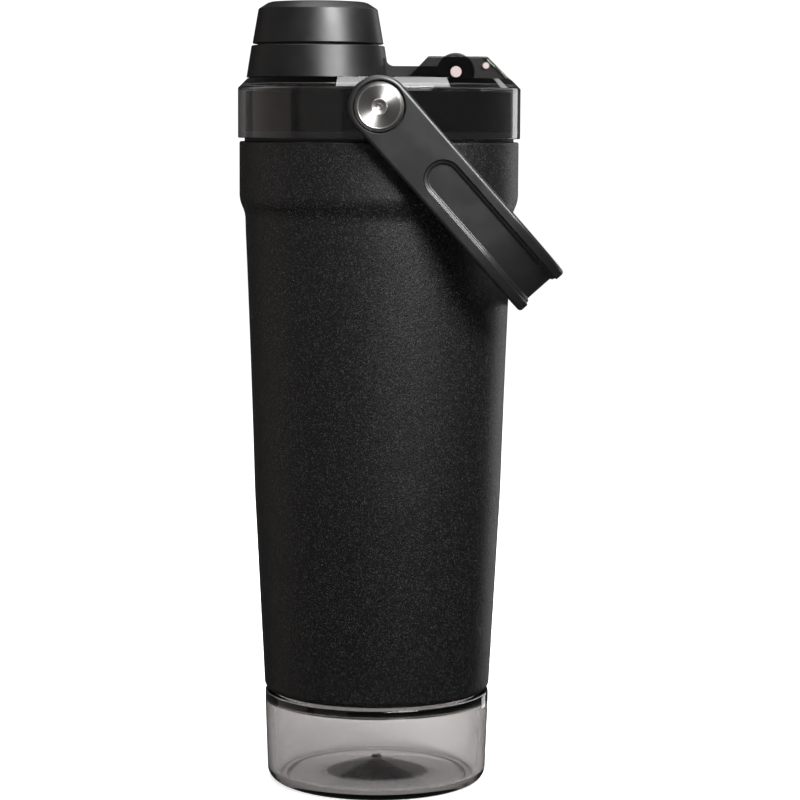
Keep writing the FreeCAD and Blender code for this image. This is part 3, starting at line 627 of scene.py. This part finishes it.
# %% Turning cap
KNOB_BORE, KNOB_RADIUS, CAP_STEPS = 19.05, 20.6, 224
knob_foot, knob_top = knob_low.z, knob_high.z
knob = lathe("cap_skin", rounded([
    (0, knob_top - 1.6), (15.0, knob_top - 1.8, 1.0), (17.0, knob_top - 4.0, 1.0),
    (KNOB_BORE, knob_foot + 2.0), (KNOB_BORE, knob_foot), (KNOB_RADIUS, knob_foot, 0.3),
    (18.7, knob_top - 2.35, 0.9), (15.8, knob_top - 0.5, 1.2), (14.8, knob_top - 0.2), (0, knob_top),
]), cap_axis.x, CAP_STEPS)
smooth(knob, 50)
knob.data.materials.append(cap_black)
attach(knob, "cap")
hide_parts("cap_knob")

# %% Ring with its arm and knuckle
ring_foot, ring_top = 223.95, ring_high.z
RING_BORE, RING_FOOT_RADIUS, RING_TOP_RADIUS, SNAP_GROOVE = 19.3, 22.5, 20.9, 0.6
ARM_LOW, ARM_TOP, ARM_HALF, ARM_FILLET = 224.3, 227.7, 5.8, 2.5
KNUCKLE, KNUCKLE_HALF, KNUCKLE_BORE = 5.95, 6.4, 1.75
ring = lathe("ring_moulding", rounded([
    (RING_BORE, ring_foot), (RING_FOOT_RADIUS, ring_foot, 0.15), (RING_TOP_RADIUS, ring_top, 0.45),
    (RING_BORE, ring_top, 0.2), (RING_BORE, ring_foot + 4.3), (RING_BORE + SNAP_GROOVE, ring_foot + 4.0),
    (RING_BORE + SNAP_GROOVE, ring_foot + 2.7), (RING_BORE, ring_foot + 2.4),
]), cap_axis.x, CAP_STEPS)
arm_root = cap_axis.x + RING_TOP_RADIUS + 0.45
arm_start = cap_axis.x + RING_BORE + 0.3
arm = prism("arm", rounded([
    (arm_start, ARM_LOW), (hinge.x, ARM_LOW), (hinge.x, ARM_TOP), (arm_root, ARM_TOP, ARM_FILLET),
    (arm_root, ARM_TOP + ARM_FILLET + 0.2), (arm_start, ARM_TOP + ARM_FILLET + 0.2),
], 8), -ARM_HALF, ARM_HALF)
soften(arm, 0.5)
combine(ring, arm, "UNION")
knuckle = rod("knuckle", hinge.x, hinge.z, KNUCKLE, -KNUCKLE_HALF, KNUCKLE_HALF, 128)
combine(ring, soften(knuckle, 0.4), "UNION")
combine(ring, rod("knuckle_bore", hinge.x, hinge.z, KNUCKLE_BORE, -8.0, 8.0, 48))
smooth(ring)
ring.data.materials.append(cap_black)
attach(ring, "cap_arm")
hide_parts("cap_ring")

# %% [markdown]
# ## The bail handle
#
# The handle is a strap bent into a U. It is easiest to make it as the mould maker draws it first: flat and
# unrolled, with round ends, a seat for a rivet in each end and a long shallow channel down its middle. Its
# edges are generously rounded and the channel has sloping walls, so both are built up in layers, like contour
# lines, instead of being bevelled. Then it is sliced finely where it will bend, and each point is moved to its
# place on the U.

# %% Flat strap
STRAP, HALF_WIDTH, END_RADIUS, NARROWS_AT = 4.0, 9.1, 9.35, 22.0
ARM_INNER, GRIP_INNER, BEND = 45.2, 71.5, 20.0
OUTER_ROUND, INNER_ROUND = 1.1, 0.6
CHANNEL_HALF, CHANNEL_DEPTH, CHANNEL_START = 5.2, 1.5, 23.5
CHANNEL_FLARE, CHANNEL_FILLET, CHANNEL_DRAFT = 0.75, 0.6, 0.4
grip_half = ARM_INNER - BEND
bend_length = BEND * math.pi / 2
pivot_along = grip_half + bend_length + GRIP_INNER - BEND


def pill(reach, radius, steps=32):
    """A long outline with round ends, centred on the origin."""
    turns = [math.pi * step / steps - math.pi / 2 for step in range(steps + 1)]
    right = [(reach + radius * math.cos(turn), radius * math.sin(turn)) for turn in turns]
    return right + [(-x, -y) for x, y in right]


def strap_outline(inset):
    """The strap's outline, moved inwards; it narrows a little behind its round ends."""
    ends = pill(pivot_along, END_RADIUS - inset)
    right, left = ends[:len(ends) // 2], ends[len(ends) // 2:]
    narrow, half = pivot_along - NARROWS_AT, HALF_WIDTH - inset
    return right + [(narrow, half), (-narrow, half)] + left + [(-narrow, -half), (narrow, -half)]


def quarter(radius, steps=6):
    """A quarter round, as (how far in, how far from the face)."""
    turns = [math.pi / 2 * step / steps for step in range(steps + 1)]
    return [(radius * (1 - math.sin(turn)), radius * (1 - math.cos(turn))) for turn in turns]


strap = layered("handle_strap", [(strap_outline(inset), rise) for inset, rise in quarter(INNER_ROUND)]
                + [(strap_outline(inset), STRAP - drop) for inset, drop in quarter(OUTER_ROUND)[::-1]])

# %% Channel down the middle
channel_reach = pivot_along - CHANNEL_START - CHANNEL_HALF
channel_floor, mouth = STRAP - CHANNEL_DEPTH, CHANNEL_HALF + CHANNEL_FLARE
fillet = [(pill(channel_reach, CHANNEL_HALF - CHANNEL_DRAFT - inset), channel_floor + rise)
          for inset, rise in quarter(CHANNEL_FILLET)]
flare = [(pill(channel_reach, mouth - outset), STRAP - CHANNEL_FLARE + rise)
         for rise, outset in quarter(CHANNEL_FLARE)[::-1]]
combine(strap, layered("channel", fillet + flare + [(pill(channel_reach, mouth), STRAP + PAST)]))
print("channel", round(2 * (channel_reach + CHANNEL_HALF), 1), "mm long")

# %% Seats for the rivets
SEAT, SEAT_DEPTH, SEAT_EDGE, SHANK_HOLE = 7.9, 2.0, 0.2, 3.3
for side in (-1, 1):
    at = side * pivot_along
    combine(strap, layered("seat", [(circle(at, 0, SEAT, 96), STRAP - SEAT_DEPTH),
                                    (circle(at, 0, SEAT, 96), STRAP - SEAT_EDGE),
                                    (circle(at, 0, SEAT + SEAT_EDGE, 96), STRAP),
                                    (circle(at, 0, SEAT + SEAT_EDGE, 96), STRAP + PAST)]))
    combine(strap, prism("hole", circle(at, 0, SHANK_HOLE, 64), -1.0, STRAP + 1.0, "Z"))
print("flat strap", round(2 * (pivot_along + END_RADIUS), 1), "mm long")

# %% Slice it where it bends, then bend it
bpy.ops.object.mode_set(mode="EDIT")
bpy.ops.mesh.select_all(action="SELECT")
bpy.ops.mesh.quads_convert_to_tris()
SLICES = 40
for side in (-1, 1):
    for step in range(SLICES + 1):
        along = side * (grip_half + bend_length * step / SLICES)
        bpy.ops.mesh.select_all(action="SELECT")
        bpy.ops.mesh.bisect(plane_co=(along * MM, 0, 0), plane_no=(1, 0, 0))
bpy.ops.object.mode_set(mode="OBJECT")


def bent(along, depth):
    """Where a point of the strap lies: its reach from the pivot and its place across the bottle."""
    side, along = math.copysign(1, along), abs(along)
    if along <= grip_half:
        return GRIP_INNER + depth, side * along
    turn = min((along - grip_half) / BEND, math.pi / 2)
    reach = GRIP_INNER - BEND + (BEND + depth) * math.cos(turn)
    across = grip_half + (BEND + depth) * math.sin(turn)
    return reach - max(along - grip_half - bend_length, 0), side * across


HANDLE_DOWN = 48.2  # degrees below level, where the folded handle rests
handle_down = math.radians(HANDLE_DOWN)
out = Vector((math.cos(handle_down), 0, -math.sin(handle_down)))
up = Vector((math.sin(handle_down), 0, math.cos(handle_down)))
for vertex in strap.data.vertices:
    reach, across = bent(vertex.co.x / MM, vertex.co.z / MM)
    place = out * reach + up * (vertex.co.y / MM) + Vector((0, across, 0)) + Vector((pivot.x, 0, pivot.z))
    vertex.co = place * MM
only(strap)
bpy.ops.object.mode_set(mode="EDIT")
tidy_mesh()
smooth(strap)
strap.data.materials.append(satin_black)
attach(strap, "handle")
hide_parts("handle")

# %% [markdown]
# ## The rivets
#
# Each rivet is turned from stainless bar: a flat faced head with a bevelled rim, and the dimple that the
# lathe's centre leaves. The rim and the dimple were polished after the face, so they show no rings. It is
# modelled upright and laid over to the front or the rear.

# %% Rivets
SHANK, SHANK_TIP, HEAD_BACK, HEAD_RADIUS = 3.25, 38.0, 47.3, 7.45
head, DIMPLE, RIM = 49.2, 2.4, 6.3
rivet_outline = rounded([
    (0, SHANK_TIP), (SHANK, SHANK_TIP), (SHANK, HEAD_BACK), (HEAD_RADIUS, HEAD_BACK, 0.1),
    (HEAD_RADIUS, head - 0.75, 0.15),
    (6.45, head - 0.02, 0.12), (6.3, head - 0.1), (6.15, head, 0.05), (2.45, head, 0.12),
    (2.2, head - 0.35, 0.15), (1.1, head - 0.6, 0.2), (0.75, head - 1.1), (0, head - 1.3),
])
for side, turn in (("front", 90), ("rear", -90)):
    rivet = lathe(f"{side}_rivet_turned", rivet_outline, steps=128)
    rivet.data.transform(Matrix.Translation((0, 0, pivot.z * MM)) @ Matrix.Rotation(math.radians(turn), 4, "X"))
    smooth(rivet, 25)
    rivet.data.materials.append(turned_steel)
    rivet.data.materials.append(bare_steel)
    for face in rivet.data.polygons:
        out_from_axis = math.hypot(face.center.x, face.center.z - pivot.z * MM) / MM
        if not DIMPLE < out_from_axis < RIM:
            face.material_index = 1
    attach(rivet, "lid")
    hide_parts(f"{side}_rivet")

# %% [markdown]
# ## Pieces that keep their mechanical shape
#
# Seals, liner, plug, pins and the rest are right as they were designed. They only need their finishes.

# %% Finishes for the other pieces
finishes = {
    silicone: ("jar_seal", "lid_gasket", "spout_o_ring", "cap_seal"),
    plain_black: ("base_socket", "lid_plug", "spout", "cap_insert", "mixing_grid"),
    bare_steel: ("inner_liner", "base_plate"),
    pin_steel: ("hinge_pin", "stop_pin"),
    brass: ("front_insert", "rear_insert"),
    nylon: ("front_washer", "rear_washer"),
    getter_metal: ("getter_pill",),
}
for material, names in finishes.items():
    for name in names:
        node = frame["nodes"][name]
        node.data.materials.clear()
        node.data.materials.append(material)
print("finished", sum(len(names) for names in finishes.values()), "more pieces")

# %% [markdown]
# ## Studio
#
# A black object is drawn by what it reflects. A small soft box in front, above the bottle and to the right, has
# a narrow beam and gives the satin pieces their highlight. A wide one overhead lights the chamfer, a tall strip
# behind on the right draws the edge, and two large dim walls on the left lift that side a little. The bottle
# stands on a table of opal acrylic lit from below. World and table are white where they are seen, also
# through the clear pieces, and are dim or missing where a polished black surface would mirror them, as if
# black cards stood round the bottle.

# %% Floor and world
TABLE_GLOW = 0.75
SURROUND, BOUNCE, MIRRORED = 1.1, 0.3, 0.045  # the world as it is seen, as it lights matte faces, as mirrored


def only_mirrored(owner):
    """1 for a ray that a polished surface has reflected and that has crossed no clear plastic, else 0."""
    ray = add_node(owner, "ShaderNodeLightPath").outputs
    outside = add_node(owner, "ShaderNodeMath", {"operation": "LESS_THAN", 1: 0.5},
                       {0: ray["Transmission Depth"]}).outputs[0]
    return add_node(owner, "ShaderNodeMath", {"operation": "MULTIPLY"},
                    {0: ray["Is Glossy Ray"], 1: outside}).outputs[0]


bpy.ops.object.select_all(action="DESELECT")
bpy.ops.mesh.primitive_circle_add(vertices=96, radius=6.0, fill_type="NGON")
floor = bpy.context.object
floor.name = "floor"
opal, glow, surface = new_material("backlit_opal_acrylic", {
    "Base Color": linear("#f6f6f5"), "Roughness": 0.9, "Specular IOR Level": 0.2,
    "Emission Color": linear("#ffffff"), "Emission Strength": TABLE_GLOW,
})
missing = add_node(opal, "ShaderNodeBsdfTransparent").outputs[0]
either = add_node(opal, "ShaderNodeMixShader",
                  links={0: only_mirrored(opal), 1: glow.outputs[0], 2: missing}).outputs[0]
opal.node_tree.links.new(either, surface.inputs["Surface"])
floor.data.materials.append(opal)

world = bpy.data.worlds.new("studio")
bpy.context.scene.world = world
world.use_nodes = True
world.node_tree.nodes.clear()
bounced = add_node(world, "ShaderNodeLightPath").outputs["Is Diffuse Ray"]
plain = add_node(world, "ShaderNodeMapRange", {3: SURROUND, 4: BOUNCE}, {0: bounced}).outputs[0]
strength = add_node(world, "ShaderNodeMapRange", {4: MIRRORED}, {0: only_mirrored(world), 3: plain})
sky = add_node(world, "ShaderNodeBackground", {"Color": linear("#ffffff")}, {"Strength": strength.outputs[0]})
add_node(world, "ShaderNodeOutputWorld", links={"Surface": sky.outputs[0]})
print("floor and world made")

# %% Lights
def soft_box(name, place, aim, width, height, power, colour="#ffffff", spread=180.0):
    """A rectangular light at place, facing aim, sizes in metres."""
    data = bpy.data.lights.new(name, "AREA")
    data.shape = "RECTANGLE"
    data.size, data.size_y, data.energy = width, height, power
    data.color = linear(colour)[:3]
    data.spread = math.radians(spread)
    light = bpy.data.objects.new(name, data)
    bpy.context.scene.collection.objects.link(light)
    light.location = place
    light.rotation_euler = (Vector(aim) - Vector(place)).to_track_quat("-Z", "Y").to_euler()
    light.visible_camera = False


middle = Vector((0, 0, 0.13))
soft_box("key", (0.23, -0.40, 0.52), (0, 0, 0.25), 0.32, 0.24, 1.65, spread=60.0)
soft_box("overhead", (0.105, 0.1, 1.25), (0.105, 0.1, 0), 0.87, 0.7, 13.0)
soft_box("edge", (0.72, 1.0, 0.3), middle, 0.3, 1.2, 1.8)
soft_box("left_wall", (-1.3, 0.2, 0.25), middle, 1.2, 1.3, 1.2, "#fff0e6")
soft_box("left_front", (-1.05, -0.95, 0.25), middle, 0.95, 1.3, 0.5, "#fff6f0")
print("lights set")

# %% [markdown]
# ## Camera
#
# A long lens level with the collar's foot, tipped down by six degrees, so that the bottle's sides stay nearly
# parallel.

# %% Camera
CAMERA_PLACE, LENS = (0, -0.821, 0.20844), 116.5
YAW, TIP, ROLL = -0.49, 84.0, 0.3
data = bpy.data.cameras.new("camera")
data.lens, data.sensor_width = LENS, 36.0
camera = bpy.data.objects.new("camera", data)
bpy.context.scene.collection.objects.link(camera)
camera.matrix_world = (Matrix.Translation(CAMERA_PLACE)
                       @ Matrix.Rotation(math.radians(YAW), 4, "Z")
                       @ Matrix.Rotation(math.radians(TIP), 4, "X")
                       @ Matrix.Rotation(math.radians(ROLL), 4, "Z"))
bpy.context.scene.camera = camera
bpy.context.scene.view_settings.view_transform = "Standard"
print("camera with a", LENS, "mm lens, at", CAMERA_PLACE)

# %% Update the scene
bpy.context.view_layer.update()
